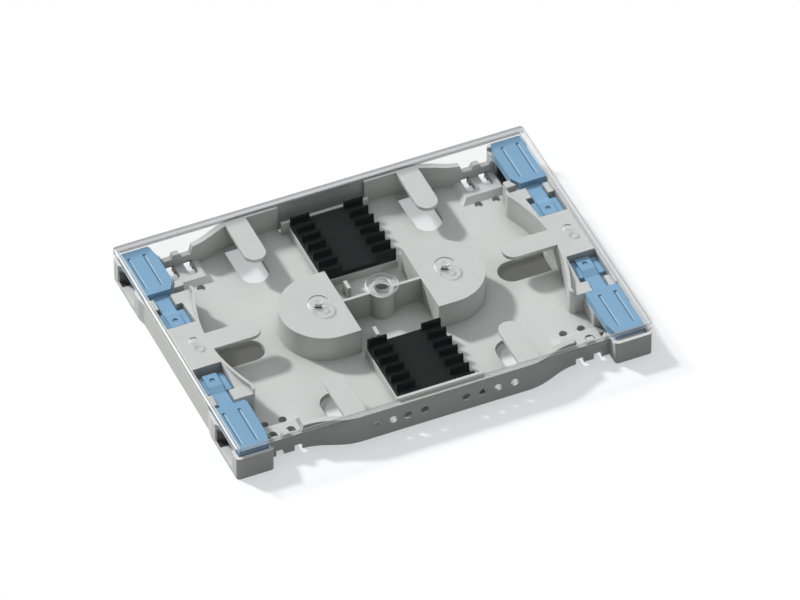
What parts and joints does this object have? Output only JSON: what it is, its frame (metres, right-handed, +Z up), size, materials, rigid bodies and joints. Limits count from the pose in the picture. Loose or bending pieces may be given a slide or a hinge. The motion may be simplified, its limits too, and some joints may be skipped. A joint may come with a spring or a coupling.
{
  "type": "fibre splice tray",
  "caption": "Flat fibre splice tray with a clear lift-off cover, hollow mandrels, sleeve holders, tie-down cable ports and a sliding latch at each corner.",
  "frame": {"origin": "middle of the footprint, at the height of the surface the tray lies on", "axes": "+X along the long side, +Y across the tray away from the front wall, +Z up towards the cover"},
  "size_m": [0.17, 0.1204, 0.0164],
  "materials": {
    "tray_grey": "satin light grey moulding",
    "cover_clear": "clear polished plastic",
    "latch_blue": "satin light blue moulding",
    "holder_black": "dull near-black soft plastic"
  },
  "bodies": {
    "base": {"tray_base": "tray_grey", "sleeve_holder_front": "holder_black", "sleeve_holder_rear": "holder_black"},
    "cover": {"clear_cover": "cover_clear"},
    "front_left_latch": {"latch_front_left": "latch_blue"},
    "front_right_latch": {"latch_front_right": "latch_blue"},
    "rear_left_latch": {"latch_rear_left": "latch_blue"},
    "rear_right_latch": {"latch_rear_right": "latch_blue"}
  },
  "joints": [
    {"name": "cover_lift", "type": "slide", "parent": "base", "child": "cover", "axis": [0, 0, 1], "range_m": [0, 0.04]},
    {"name": "front_left_latch_slide", "type": "slide", "parent": "base", "child": "front_left_latch", "axis": [0, 1, 0], "range_m": [0, 0.0018]},
    {"name": "front_right_latch_slide", "type": "slide", "parent": "base", "child": "front_right_latch", "axis": [0, 1, 0], "range_m": [-0.0018, 0.0002]},
    {"name": "rear_left_latch_slide", "type": "slide", "parent": "base", "child": "rear_left_latch", "axis": [0, -1, 0], "range_m": [0, 0.0018]},
    {"name": "rear_right_latch_slide", "type": "slide", "parent": "base", "child": "rear_right_latch", "axis": [0, -1, 0], "range_m": [0, 0.0018]}
  ]
}
